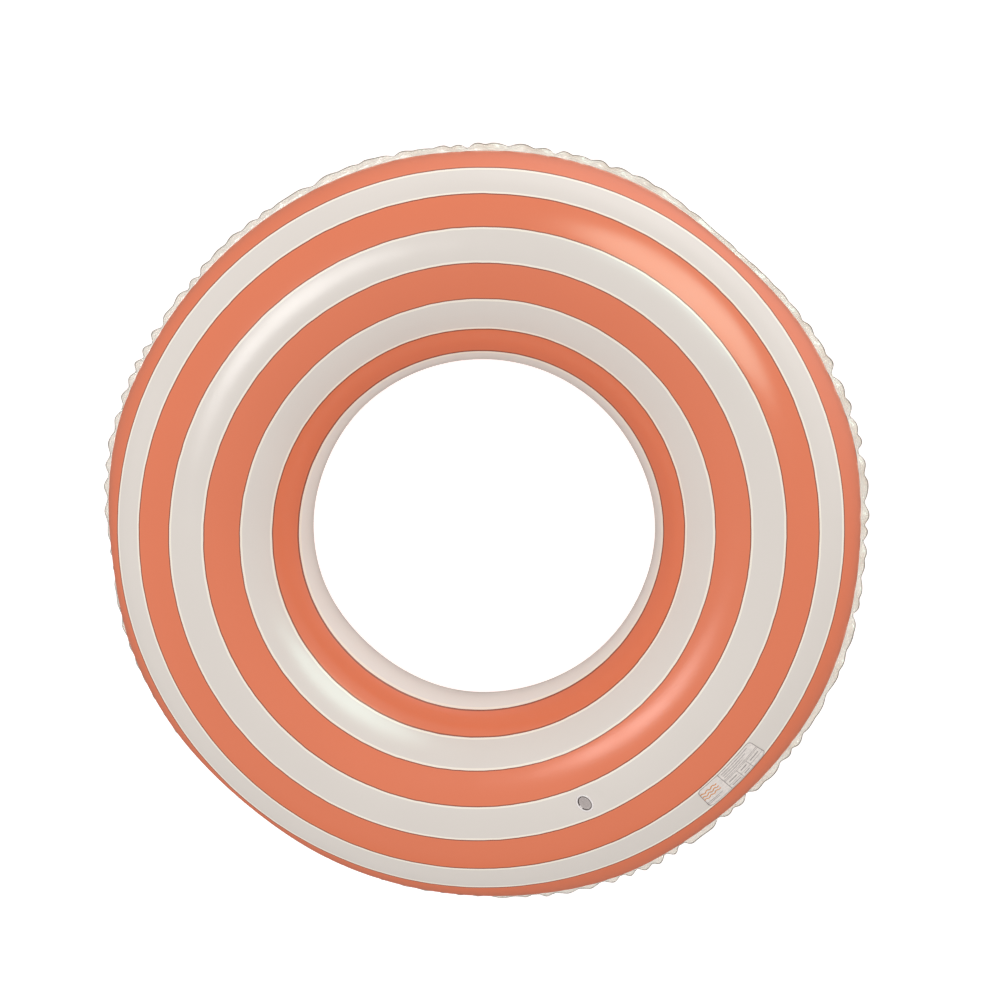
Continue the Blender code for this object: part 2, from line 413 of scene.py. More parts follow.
def mesh_piece(name, points, faces, *materials):
    """A smooth mesh piece from points and faces, each an array or a list."""
    mesh = bpy.data.meshes.new(name)
    mesh.from_pydata(as_lists(points), [], as_lists(faces))
    mesh.update()
    for each in materials:
        mesh.materials.append(each)
    mesh.shade_smooth()
    piece = bpy.data.objects.new(name, mesh)
    bpy.context.scene.collection.objects.link(piece)
    return piece


def grid_faces(rows, columns, closed=True):
    """Quads of a grid of points, row after row; closed joins the last column to the first."""
    steps = columns if closed else columns - 1
    row, column = np.meshgrid(np.arange(rows - 1), np.arange(steps), indexing="ij")
    here = row * columns + column
    after = row * columns + (column + 1) % columns
    return np.stack([here, after, after + columns, here + columns], axis=-1).reshape(-1, 4)


def closed_loft(name, sections, *materials):
    """A closed ring lofted from sections: an array of section, point on it, and x, y, z."""
    count, around = sections.shape[:2]
    first = np.arange(around)
    last = (count - 1) * around + first
    closing = np.stack([last, np.roll(last, -1), np.roll(first, -1), first], axis=-1)
    faces = np.concatenate([grid_faces(count, around), closing])
    return mesh_piece(name, sections.reshape(-1, 3), faces, *materials)


def solidify(piece, thickness, offset=0.0):
    modifier = piece.modifiers.new("thickness", "SOLIDIFY")
    modifier.thickness = thickness
    modifier.offset = offset


def print_uv(piece, theta, phi):
    """Where each corner lies on the print: u goes round the ring, v is phi as printed, 1 at 180 degrees."""
    layer = piece.data.uv_layers.new(name="print")
    corner = np.zeros(len(piece.data.loops), np.int32)
    piece.data.loops.foreach_get("vertex_index", corner)
    u = (theta[corner] / (2 * pi)) % 1.0
    faces = u.reshape(-1, 4)
    wraps = (faces.max(axis=1) - faces.min(axis=1)) > 0.5
    faces[wraps] = np.where(faces[wraps] < 0.5, faces[wraps] + 1, faces[wraps])
    v = (np.degrees(phi[corner]) - print_shift(theta[corner])) / 180
    layer.data.foreach_set("uv", np.stack([faces.reshape(-1), v], axis=-1).ravel())


def recess_radius(angle, grow=0.0):
    """The radius of the oval recess in that direction, grown outwards."""
    a, b = RECESS_LONG + grow, RECESS_SHORT + grow
    turned = angle - RECESS_ANGLE
    return a * b / np.hypot(b * np.cos(turned), a * np.sin(turned))


def make_back_film(vinyl):
    rows = film_rows()
    theta, phi = np.meshgrid(np.arange(COLUMNS) * 2 * pi / COLUMNS, rows)
    points = film_points(theta, phi, -1).reshape(-1, 3)
    faces = grid_faces(len(rows), COLUMNS)[:, ::-1]
    film = mesh_piece("back_film", points, faces, vinyl)
    print_uv(film, theta.ravel(), phi.ravel())
    return film


def valve_window(rows):
    """The window of the front film's grid round the valve: its lowest and highest row and column."""
    angle = atan2(VALVE_Y, VALVE_X) % (2 * pi)
    reach = hypot(VALVE_X, VALVE_Y)
    height = np.arccos((reach - tube_middle(np.array(angle))) / TUBE_R)
    low = int(np.searchsorted(rows, height - WINDOW / TUBE_R)) - 1
    high = int(np.searchsorted(rows, height + WINDOW / TUBE_R))
    middle = round(angle / (2 * pi / COLUMNS))
    half = int(WINDOW / reach / (2 * pi / COLUMNS)) + 1
    return low, high, middle - half, middle + half


def window_edge(low, high, left, right):
    """The numbers of the grid's points round the window, in order."""
    across, up = np.arange(left, right + 1), np.arange(low, high + 1)
    loop = [(low, column) for column in across[:-1]] + [(row, right) for row in up[:-1]]
    loop += [(high, column) for column in across[:0:-1]] + [(row, left) for row in up[:0:-1]]
    return np.array([row * COLUMNS + column for row, column in loop])


def window_rings(edge):
    """theta and phi of rings of points that close in from the window's edge on the valve's recess."""
    offset = edge[:, :2] - (VALVE_X, VALVE_Y)
    bearing, start = np.arctan2(offset[:, 1], offset[:, 0]), np.hypot(offset[:, 0], offset[:, 1])
    share = (np.arange(1, WINDOW_RINGS + 1) / WINDOW_RINGS)[:, None] ** WINDOW_CROWDING
    distance = start * (1 - share) + recess_radius(bearing, FILM_UNDER_LIP * LIP_WIDTH) * share
    x, y = VALVE_X + distance * np.cos(bearing), VALVE_Y + distance * np.sin(bearing)
    theta = np.arctan2(y, x)
    return theta, np.arccos((np.hypot(x, y) - tube_middle(theta)) / TUBE_R)


def make_front_film(vinyl):
    """The front film. A window of its grid is drawn again as rings that close in on the valve's recess."""
    rows = film_rows()
    theta, phi = np.meshgrid(np.arange(COLUMNS) * 2 * pi / COLUMNS, rows)
    grid = film_points(theta, phi, 1).reshape(-1, 3)
    low, high, left, right = valve_window(rows)
    edge = window_edge(low, high, left, right)
    ring_theta, ring_phi = window_rings(grid[edge])
    rings = film_points(ring_theta, ring_phi, 1).reshape(-1, 3)
    faces = grid_faces(len(rows), COLUMNS)
    row, column = faces[:, 0] // COLUMNS, faces[:, 0] % COLUMNS
    inside = (row >= low) & (row < high) & (column >= left) & (column < right)
    numbers = np.concatenate([edge, len(grid) + np.arange(len(rings))])
    window = numbers[grid_faces(WINDOW_RINGS + 1, len(edge))]
    used, compact = np.unique(np.concatenate([faces[~inside], window]), return_inverse=True)
    points = np.concatenate([grid, rings])[used]
    film = mesh_piece("front_film", points, compact.reshape(-1, 4), vinyl)
    all_theta = np.concatenate([theta.ravel(), ring_theta.ravel()])[used]
    all_phi = np.concatenate([phi.ravel(), ring_phi.ravel()])[used]
    print_uv(film, all_theta, all_phi)
    return film


def make_weld_frill(vinyl, trimmed, pressed):
    """The outer margin: a strip that leaves the films as a flat, pale pressed line and then swings up and
    down towards its free edge, whose last row is the darker line of the trimming cut."""
    theta = np.arange(COLUMNS) * 2 * pi / COLUMNS
    root_r, root_z = seam_line(theta)
    hanging = along(theta, DROOPS)
    swing = FRILL_SWING * (1 - FRILL_CALM * hanging) * ruffle_height(theta)
    lean = swing * ruffle(theta) - FRILL_DROOP * hanging
    width = FRILL_WIDTH * (1 + sines(theta, WIDTH_DRIFT)) * (1 - bells(theta, FRILL_NARROWS))
    flat = WELD_LINE_WIDTH / FRILL_WIDTH
    pressed_rows = np.linspace(0, flat, WELD_LINE_ROWS, endpoint=False)
    free_rows = np.linspace(flat, 1 - TRIM_WIDTH / FRILL_WIDTH, FRILL_ROWS - WELD_LINE_ROWS - 1)
    share = np.concatenate([pressed_rows, free_rows, [1]])[:, None]
    middle = (share[1:] + share[:-1]) / 2
    bend = lean * smooth((middle - flat) / FRILL_BEND)
    step = width * (share[1:] - share[:-1])
    none = np.zeros((1, COLUMNS))
    out = np.concatenate([none, np.cumsum(np.cos(bend) * step, axis=0)])
    rise = np.concatenate([none, np.cumsum(np.sin(bend) * step, axis=0)])
    radius = root_r - FRILL_TUCK + out
    points = np.stack([radius * np.cos(theta), radius * np.sin(theta), root_z + rise], axis=-1)
    faces = grid_faces(FRILL_ROWS, COLUMNS)
    frill = mesh_piece("weld_frill", points.reshape(-1, 3), faces, vinyl, trimmed, pressed)
    number = np.zeros(len(faces), np.int32)
    number[: WELD_LINE_ROWS * COLUMNS] = 2
    number[-COLUMNS:] = 1
    frill.data.polygons.foreach_set("material_index", number)
    solidify(frill, FRILL_T)
    return frill


def make_inner_weld(vinyl):
    """The inner margin inside the tube; only its rounded root shows, as a fine line round the hole."""
    theta = (np.arange(INNER_WELD_STEPS) * 2 * pi / INNER_WELD_STEPS)[:, None]
    root = tube_middle(theta) - TUBE_R + bells(theta, HOLE_SWELLS)
    half = INNER_WELD_T / 2
    arc = np.linspace(pi / 2, 3 * pi / 2, INNER_WELD_ARC_STEPS)
    rounded = half * np.cos(arc) / 2 + INNER_WELD_SHOWS
    radius = root + np.concatenate([[INNER_WELD_WIDTH], rounded, [INNER_WELD_WIDTH]])
    height = SEAM_Z + np.concatenate([[half], half * np.sin(arc), [-half]]) + 0 * radius
    sections = np.stack([radius * np.cos(theta), radius * np.sin(theta), height], axis=-1)
    return closed_loft("inner_weld", sections, vinyl)


# ---------------------------------------------------------------- valve


def around_valve(radius, height, bearing=BEARINGS):
    """Points round the valve's axis, a row for each height from the film."""
    x = VALVE_X + radius * np.cos(bearing)
    y = VALVE_Y + radius * np.sin(bearing)
    return np.stack([x, y, FILM_Z + height + 0 * x], axis=-1)


def round_corner(corner, size, start, steps=4):
    """Points of a quarter circle of that size, turning clockwise from the start angle in degrees."""
    angles = np.radians(start - np.linspace(0, 90, steps + 1))
    return [(corner[0] + size * np.cos(a), corner[1] + size * np.sin(a)) for a in angles]


def turned_ring(name, profile, *materials):
    """A turned piece from a closed profile of radius and height, which goes down the outer side."""
    radius, height = np.array(profile).T[..., None]
    return closed_loft(name, around_valve(radius, height).transpose(1, 0, 2), *materials)


def capped_loft(name, points, *materials):
    """A solid from rings of points that run down its outside, closed by a face at each end."""
    rows = len(points)
    faces = grid_faces(rows, ROUND_STEPS)[:, ::-1].tolist()
    faces.append(list(range(ROUND_STEPS)))
    faces.append(list(range(rows * ROUND_STEPS - 1, (rows - 1) * ROUND_STEPS - 1, -1)))
    return mesh_piece(name, points.reshape(-1, 3), faces, *materials)


def make_valve_rim(vinyl):
    """The flange under the film and the soft lip that comes up through the hole and rolls over its edge."""
    lip = [(0.0, LIP_FOOT), (0.0, 0.0)]
    lip += [(LIP_ROLL * LIP_WIDTH * (1 - cos(a)), LIP_RISE * sin(a)) for a in np.radians(LIP_TURN)]
    out, up = np.array(lip + list(LIP_END)).T[..., None]
    flange_out, flange_up = np.array(FLANGE_EDGE).T[..., None]
    radius = np.concatenate([recess_radius(BEARINGS) + out, FLANGE_R + flange_out + 0 * BEARINGS])
    sections = around_valve(radius, np.concatenate([up, flange_up])).transpose(1, 0, 2)
    return closed_loft("valve_rim", sections[:, ::-1], vinyl)


def make_valve_cup(vinyl):
    """The thin rolling wall between flange and stem, oval at the top and round at the foot."""
    share = np.linspace(0, 1, CUP_ROWS)[:, None]
    rounder = smooth(share * (1 + CUP_OVAL_PART) - CUP_OVAL_PART)
    oval, foot = recess_radius(BEARINGS, CUP_OUTSIDE_RECESS), FOOT_OUTER + CUP_OUTSIDE_FOOT
    height = CUP_TOP + (CUP_BOTTOM - CUP_TOP) * np.sin(share * pi / 2) ** CUP_STEEPNESS
    points = around_valve(oval * (1 - rounder) + foot * rounder, height)
    cup = mesh_piece("valve_cup", points.reshape(-1, 3), grid_faces(CUP_ROWS, ROUND_STEPS), vinyl)
    solidify(cup, CUP_T, -1)
    return cup


def make_valve_tube(vinyl):
    """The stem: from its rounded mouth down the outer side, round the foot, and up the bore."""
    foot = FOOT_OUTER - FOOT_CORNER
    profile = round_corner((STEM_OUTER - MOUTH_CORNER, STEM_TOP - MOUTH_CORNER), MOUTH_CORNER, 90)
    profile += [(STEM_OUTER + out, STEM_BOTTOM + up) for out, up in STEM_FILLET]
    profile += round_corner((foot, STEM_BOTTOM + 2 * FOOT_CORNER), FOOT_CORNER, 90)
    profile += round_corner((foot, STEM_BOTTOM + FOOT_CORNER), FOOT_CORNER, 0)
    profile += [(STEM_BORE, STEM_BOTTOM), (STEM_BORE, STEM_TOP - MOUTH_BEVEL[1])]
    profile += [(STEM_BORE + MOUTH_BEVEL[0], STEM_TOP)]
    return turned_ring("valve_tube", profile, vinyl)


def make_valve_lid(vinyl):
    """The cap: an oval, dished disc with a raised ring and rim, and a round tapered plug below."""
    disc = [*LID_DISH, *round_corner((-LID_CORNER, -LID_CORNER), LID_CORNER, 90), *LID_SIDE]
    edge = recess_radius(BEARINGS, -LID_GAP)
    disc_out, disc_up = np.array(disc).T[..., None]
    plug_out, plug_up = np.array(PLUG).T[..., None]
    radius = np.concatenate([np.maximum(edge + disc_out, LID_MIDDLE * edge), plug_out + 0 * edge])
    points = around_valve(radius, np.concatenate([LID_TOP + disc_up, plug_up]))
    points[: len(disc), :, :2] -= LID_SHIFT * np.array([cos(TETHER_ANGLE), sin(TETHER_ANGLE)])
    return capped_loft("valve_lid", points, vinyl)


def make_lid_strap(vinyl):
    """The strap from the stem's side to the cap's edge, bent round the recess."""
    share = np.linspace(0, 1, STRAP_ROWS)
    knots = np.linspace(0, 1, len(STRAP_ROUTE))
    radius, height = (np.interp(share, knots, each)[:, None] for each in zip(*STRAP_ROUTE))
    spread = np.radians(np.linspace(-STRAP_HALF_ANGLE, STRAP_HALF_ANGLE, STRAP_COLUMNS))
    bearing = TETHER_ANGLE + spread * (1 - STRAP_WAIST * np.sin(share * pi)[:, None])
    radius = np.minimum(radius, recess_radius(bearing, -STRAP_CLEARANCE))
    points = around_valve(radius, height, bearing)
    faces = grid_faces(STRAP_ROWS, STRAP_COLUMNS, closed=False)
    strap = mesh_piece("lid_strap", points.reshape(-1, 3), faces, vinyl)
    solidify(strap, STRAP_T, 0)
    return strap


# ---------------------------------------------------------------- label


class Ink:
    """Thin printed shapes on the front film. Places are metres from the label's middle: u round, v up."""

    def __init__(self):
        self.points = []
        self.faces = []

    def place(self, u, v, rise):
        theta = LABEL_THETA + u / (tube_middle(np.array(LABEL_THETA)) + TUBE_R * cos(LABEL_PHI))
        phi = LABEL_PHI + v / TUBE_R
        normal = np.stack([np.cos(phi) * np.cos(theta), np.cos(phi) * np.sin(theta), np.sin(phi)], axis=-1)
        return film_points(theta, phi, 1) + rise * normal

    def sheet(self, u, v, rise=INK_RISE):
        """A patch of the grid that u and v span, row after row."""
        rows, columns = u.shape
        start = sum(len(p) for p in self.points)
        self.points.append(self.place(u, v, rise).reshape(-1, 3))
        self.faces.append(grid_faces(rows, columns, closed=False) + start)

    def bar(self, start, end, v, half):
        """A level bar at height v."""
        columns = int((end - start) / INK_STEP) + 2
        self.sheet(*np.meshgrid(np.linspace(start, end, columns), [v - half, v + half]))

    def line(self, path, width):
        """A line of that width along a path of (u, v) points."""
        path = np.array(path)
        ahead = np.gradient(path, axis=0)
        ahead /= np.linalg.norm(ahead, axis=1)[:, None]
        aside = np.stack([-ahead[:, 1], ahead[:, 0]], axis=-1) * width / 2
        low, high = path - aside, path + aside
        self.sheet(np.stack([low[:, 0], high[:, 0]]), np.stack([low[:, 1], high[:, 1]]))

    def piece(self, name, ink):
        piece = mesh_piece(name, np.concatenate(self.points), np.concatenate(self.faces), ink)
        solidify(piece, INK_T)
        return piece


def straight(start, end):
    steps = max(2, int(hypot(end[0] - start[0], end[1] - start[1]) / INK_STEP) + 1)
    return list(zip(np.linspace(start[0], end[0], steps), np.linspace(start[1], end[1], steps)))


def label_outline():
    """The label's rounded outline, as a closed path."""
    half_u, half_v, corner = LABEL_LENGTH / 2, LABEL_WIDTH / 2, LABEL_CORNER
    path = []
    for quarter, (su, sv) in enumerate([(1, 1), (-1, 1), (-1, -1), (1, -1)]):
        middle_u, middle_v = su * (half_u - corner), sv * (half_v - corner)
        for a in np.radians(90 * quarter + np.linspace(0, 90, LABEL_CORNER_STEPS)):
            path.append((middle_u + corner * cos(a), middle_v + corner * sin(a)))
    path.append(path[0])
    dense = []
    for start, end in zip(path, path[1:]):
        dense += straight(start, end)[:-1] if start != end else []
    return dense + [path[0]]


def make_label_ground(paint):
    """The label's ground: a sheet with rounded corners."""
    half_u, half_v, corner = LABEL_LENGTH / 2, LABEL_WIDTH / 2, LABEL_CORNER
    v = np.linspace(-half_v, half_v, GROUND_ROWS)[:, None]
    into = np.clip(np.abs(v) - (half_v - corner), 0, corner)
    reach = half_u - corner + np.sqrt(corner**2 - into**2)
    u = reach * np.linspace(-1, 1, GROUND_COLUMNS)
    ground = Ink()
    ground.sheet(u, v + 0 * u, INK_RISE / 2)
    return ground.piece("label_ground", paint)


def make_label_lines(paint):
    """Outline, divider, rules, boxes and plain bars where the real label has small print."""
    half_u, half_v = LABEL_LENGTH / 2, LABEL_WIDTH / 2
    span = half_u - LABEL_DIVIDER
    lines = Ink()
    lines.line(label_outline(), OUTLINE_WIDTH)
    lines.line(straight((LABEL_DIVIDER, -half_v), (LABEL_DIVIDER, half_v)), OUTLINE_WIDTH)
    for v in LABEL_RULES:
        lines.line(straight((LABEL_DIVIDER, v), (half_u, v)), LABEL_RULE_WIDTH)
    for share in LABEL_BOXES:
        u = LABEL_DIVIDER + share * span
        lines.line(straight((u, -half_v), (u, LABEL_BOX_TOP)), LABEL_RULE_WIDTH)
    for v, half, start, end in LABEL_BARS:
        lines.bar(LABEL_DIVIDER + start * span, LABEL_DIVIDER + end * span, v, half)
    for v, half, length in LABEL_LEFT_BARS:
        lines.bar(LABEL_LEFT, LABEL_LEFT + length, v, half)
    return lines.piece("label_lines", paint)


def make_label_mark(paint):
    """A plain mark: three wavy lines of water."""
    mark = Ink()
    u = np.linspace(MARK_START, MARK_END, MARK_STEPS)
    wave = MARK_WAVE * np.sin((u - MARK_START) * 2 * pi / MARK_WAVE_LENGTH)
    for v in MARK_LINES:
        mark.line(list(zip(u, v + wave)), MARK_LINE_WIDTH)
    return mark.piece("label_mark", paint)


# ---------------------------------------------------------------- materials


NOISE_RANGE = (0.25, 0.75)


class Tree:
    """A node tree, with a short way to add a node and link its inputs."""

    def __init__(self, tree):
        self.tree = tree

    def add(self, kind, inputs=(), **settings):
        """A new node; each of its inputs is a value or another node's socket."""
        node = self.tree.nodes.new(kind)
        for key, value in settings.items():
            setattr(node, key, value)
        for key, value in dict(inputs).items():
            if isinstance(value, bpy.types.NodeSocket):
                self.tree.links.new(value, node.inputs[key])
            else:
                node.inputs[key].default_value = value
        return node

    def ramp(self, place, stops, interpolation="LINEAR"):
        """A colour ramp with those stops, each a position and a colour."""
        node = self.add("ShaderNodeValToRGB", {"Fac": place})
        node.color_ramp.interpolation = interpolation
        elements = node.color_ramp.elements
        while len(elements) < len(stops):
            elements.new(1.0)
        for element, (position, colour) in zip(elements, stops):
            element.position = position
            element.color = (*colour, 1)
        return node.outputs["Color"]


class Nodes(Tree):
    """A material's node tree, with its Principled shader."""

    def __init__(self, name):
        self.material = bpy.data.materials.new(name)
        self.material.use_nodes = True
        super().__init__(self.material.node_tree)
        self.shader = self.tree.nodes["Principled BSDF"]

    def set(self, **values):
        for key, value in values.items():
            self.shader.inputs[key.replace("_", " ")].default_value = value

    def link(self, socket, key):
        self.tree.links.new(socket, self.shader.inputs[key])

    def noise(self, scale, detail=1):
        """Noise over the piece; most of it lies inside NOISE_RANGE."""
        place = self.add("ShaderNodeTexCoord").outputs["Object"]
        inputs = {"Vector": place, "Scale": scale, "Detail": detail}
        return self.add("ShaderNodeTexNoise", inputs).outputs["Fac"]

    def spread(self, value, low, high):
        """A noise value spread over a range."""
        inputs = {"Value": value, "To Min": low, "To Max": high}
        inputs["From Min"], inputs["From Max"] = NOISE_RANGE
        return self.add("ShaderNodeMapRange", inputs, interpolation_type="SMOOTHSTEP").outputs["Result"]

    def bump(self, height, strength, distance, normal=None):
        inputs = {"Height": height, "Strength": strength, "Distance": distance}
        if normal is not None:
            inputs["Normal"] = normal
        return self.add("ShaderNodeBump", inputs).outputs["Normal"]

    def mix(self, share, first, second, blend="MIX"):
        """Two colours mixed; each may be a socket or a colour."""
        node = self.add("ShaderNodeMix", data_type="RGBA", blend_type=blend)
        for number, value in ((0, share), (6, first), (7, second)):
            if isinstance(value, bpy.types.NodeSocket):
                self.tree.links.new(value, node.inputs[number])
            else:
                node.inputs[number].default_value = (*value, 1) if number else value
        return node.outputs[2]

    def mottled(self, colour, low, high, scale):
        """A colour whose lightness drifts a little over the surface."""
        return self.mix(1.0, colour, self.spread(self.noise(scale), low, high), "MULTIPLY")


def stripes(nodes, place):
    """The print's colours along phi, with the innermost band painted lighter to make up for the shade
    inside the hole. Each coral stripe has a ramp of its own, with a fine pale and a fine dark line at its
    edges, because one ramp for all of them would be too coarse for the lines."""
    edges = [edge / 180 for edge in STRIPE_EDGES]
    pale, dark = PALE_LINE_WIDTH / 180, DARK_LINE_WIDTH / 180
    colour = None
    start = 0.0
    for low, high in zip(edges[::2], edges[1::2]):
        later = [edge for edge in edges if edge > high]
        end = (high + later[0]) / 2 if later else 1.0
        before = CREAM if start else WELD_EDGE
        stretch = 1 / sin(pi * max(low, LINE_STRETCH_FROM)), 1 / sin(pi * high)
        steps = [(start, before), (low - pale * stretch[0], PALE_LINE)]
        steps += [(low, DARK_LINE), (low + dark * stretch[0], CORAL)]
        steps += [(high - dark * stretch[1], DARK_LINE), (high, PALE_LINE)]
        # The innermost band takes the cream that is painted lighter for the shade inside the hole
        steps += [(high + pale * stretch[1], CREAM if later else INNER_CREAM_PAINTED_LIGHTER)]
        inside = nodes.add("ShaderNodeMapRange", {"Value": place, "From Min": start, "From Max": end})
        stops = [((at - start) / (end - start), each) for at, each in steps]
        stripe = nodes.ramp(inside.outputs["Result"], stops, "CONSTANT")
        if colour is None:
            colour = stripe
        else:
            past = nodes.add("ShaderNodeMath", {0: place, 1: start}, operation="GREATER_THAN").outputs[0]
            colour = nodes.mix(past, colour, stripe)
        start = end
    return colour


def printed_vinyl():
    """The films' vinyl: the print on a soft gloss, with slow swells and a fine grain."""
    nodes = Nodes("printed_vinyl")
    uv = nodes.add("ShaderNodeUVMap", uv_map="print").outputs["UV"]
    v = nodes.add("ShaderNodeSeparateXYZ", {"Vector": uv}).outputs["Y"]
    wobble = nodes.spread(nodes.noise(scale=55), -LINE_WOBBLE, LINE_WOBBLE)
    place = nodes.add("ShaderNodeMath", {0: v, 1: wobble}, operation="ADD").outputs[0]
    nodes.link(nodes.mottled(stripes(nodes, place), low=0.99, high=1.005, scale=9), "Base Color")
    nodes.link(nodes.spread(nodes.noise(scale=24), low=0.21, high=0.26), "Roughness")
    swells = nodes.bump(nodes.noise(scale=16), strength=0.15, distance=0.002)
    grain = nodes.noise(scale=1400, detail=2)
    nodes.link(nodes.bump(grain, strength=0.03, distance=0.0002, normal=swells), "Normal")
    nodes.set(Specular_IOR_Level=0.5)
    return nodes.material


def clear_vinyl(name, colour, clear, roughness, grain, relief):
    """Translucent vinyl: how clear it is, its roughness, and the scale and strength of its grain."""
    nodes = Nodes(name)
    nodes.link(nodes.mottled(colour, low=0.95, high=1.03, scale=40), "Base Color")
    uneven = nodes.spread(nodes.noise(grain, detail=2), low=roughness - 0.04, high=roughness + 0.05)
    nodes.link(uneven, "Roughness")
    nodes.link(nodes.bump(nodes.noise(grain), strength=relief, distance=0.0003), "Normal")
    nodes.set(Transmission_Weight=clear, IOR=1.45)
    return nodes.material


def printed_ink(name, colour):
    """Ink of the label, a little uneven, on a duller surface than the film's."""
    nodes = Nodes(name)
    nodes.link(nodes.mottled(colour, low=0.90, high=1.08, scale=300), "Base Color")
    nodes.link(nodes.spread(nodes.noise(scale=60, detail=2), low=0.38, high=0.48), "Roughness")
    return nodes.material


# ---------------------------------------------------------------- studio


# The camera looks at the ring's middle: sideways part of its direction, distance, focal length and shift
CAMERA_LEAN = (0.0291, 0.0915)
CAMERA_DISTANCE = 2.475
CAMERA_LENS = 73.93
CAMERA_SENSOR = 36
CAMERA_SHIFT = (0.0169, 0.0266)
LIGHTS = (
    # name, place from the ring's middle, width, height, radiance, colour
    ("top_left_softbox", (-0.69, 0.55, 2.00), 0.82, 0.60, 7.2, (1.0, 1.0, 1.0)),
    ("top_right_softbox", (0.59, 0.66, 0.72), 0.78, 0.50, 6.2, (0.65, 1.0, 0.90)),
)
# How bright the studio is at heights from straight down (0) through the horizon (0.5) to straight up (1)
STUDIO_LIGHT = ((0.0, 0.12), (0.25, 0.22), (0.44, 0.34), (0.54, 0.74), (0.62, 0.82), (1.0, 0.95))
STUDIO_TILT = 0.34
STUDIO_TILT_TOWARDS = radians(112)
WHITE_TABLE = 1.4
WHITE_TABLE_TOWARDS = radians(53)
WHITE_TABLE_FOCUS = 3
WHITE_TABLE_TOP = 0.2
FLOOR_GLOW = 0.70
FLOOR_GREY = (0.65, 0.65, 0.65, 1)
FLOOR_REACH = 8.0
BACKDROP_GLOW = 1.05
BACKDROP_REACH = 7.5
BACKDROP_HEIGHT = 6.0
BACKDROP_ROWS = 10
ABOVE_FLOOR = 0.002
WHITE = (1, 1, 1, 1)
BLACK = (0, 0, 0, 1)


def make_camera():
    camera = bpy.data.objects.new("camera", bpy.data.cameras.new("camera"))
    bpy.context.scene.collection.objects.link(camera)
    x, y = CAMERA_LEAN
    back = Vector((x, y, (1 - x * x - y * y) ** 0.5))
    up = Vector((0, back.z, -back.y)).normalized()
    right = up.cross(back).normalized()
    turn = Matrix((right, up, back)).transposed().to_4x4()
    camera.matrix_world = Matrix.Translation(Vector((0, 0, SEAM_Z)) + back * CAMERA_DISTANCE) @ turn
    camera.data.sensor_width = CAMERA_SENSOR
    camera.data.lens = CAMERA_LENS
    camera.data.shift_x, camera.data.shift_y = CAMERA_SHIFT
    bpy.context.scene.camera = camera


def make_softboxes():
    for name, place, width, height, radiance, colour in LIGHTS:
        data = bpy.data.lights.new(name, "AREA")
        data.shape = "ELLIPSE"
        data.size, data.size_y = width, height
        data.energy = radiance * pi * pi * width * height / 4
        data.color = colour
        light = bpy.data.objects.new(name, data)
        bpy.context.scene.collection.objects.link(light)
        light.location = Vector(place) + Vector((0, 0, SEAM_Z))
        light.rotation_mode = "QUATERNION"
        light.rotation_quaternion = Vector(place).to_track_quat("Z", "Y")
        light.visible_camera = False
        light.visible_diffuse = False


def level(strength, angle, up):
    """A direction of that strength in the level plane, with its part straight up."""
    return strength * cos(angle), strength * sin(angle), up


def add_white_table(world, direction):
    """A white table beyond the ring's upper right side, seen only as a sheen on the steep outer stripes."""
    height = world.add("ShaderNodeSeparateXYZ", {0: direction}).outputs["Z"]
    ahead = {0: direction, 1: level(1, WHITE_TABLE_TOWARDS, 0)}
    towards = world.add("ShaderNodeVectorMath", ahead, operation="DOT_PRODUCT").outputs["Value"]
    facing = world.add("ShaderNodeClamp", {"Value": towards}).outputs[0]
    lobe = world.add("ShaderNodeMath", {0: facing, 1: WHITE_TABLE_FOCUS}, operation="POWER").outputs[0]
    fade = {"Value": height, "From Max": WHITE_TABLE_TOP, "To Min": WHITE_TABLE, "To Max": 0}
    below = world.add("ShaderNodeMapRange", fade).outputs[0]
    strength = world.add("ShaderNodeMath", {0: lobe, 1: below}, operation="MULTIPLY").outputs[0]
    table = world.add("ShaderNodeBackground", {"Color": WHITE, "Strength": strength}).outputs[0]
    studio = world.tree.nodes["Background"].outputs[0]
    both = world.add("ShaderNodeAddShader", {0: studio, 1: table}).outputs[0]
    world.tree.links.new(both, world.tree.nodes["World Output"].inputs["Surface"])


def make_studio():
    """Soft light from all round, brighter from above and from the upper left."""
    background = bpy.data.worlds.new("studio")
    background.use_nodes = True
    bpy.context.scene.world = background
    bpy.context.scene.view_settings.view_transform = "Standard"
    world = Tree(background.node_tree)
    direction = world.add("ShaderNodeTexCoord").outputs["Generated"]
    tilt = {0: direction, 1: level(STUDIO_TILT, STUDIO_TILT_TOWARDS, 1)}
    tilted = world.add("ShaderNodeVectorMath", tilt, operation="DOT_PRODUCT").outputs["Value"]
    height = world.add("ShaderNodeMapRange", {"Value": tilted, "From Min": -1}).outputs[0]
    glow = world.ramp(height, [(at, (strength,) * 3) for at, strength in STUDIO_LIGHT])
    world.tree.links.new(glow, world.tree.nodes["Background"].inputs["Color"])
    add_white_table(world, direction)


def make_floor():
    nodes = Nodes("pale_floor")
    nodes.set(Base_Color=FLOOR_GREY, Roughness=0.8, Specular_IOR_Level=0.2)
    nodes.set(Emission_Color=WHITE, Emission_Strength=FLOOR_GLOW)
    corners = [(x * FLOOR_REACH, y * FLOOR_REACH, 0) for x, y in ((-1, -1), (1, -1), (1, 1), (-1, 1))]
    floor = mesh_piece("floor", corners, [[0, 1, 2, 3]], nodes.material)
    floor.visible_glossy = False


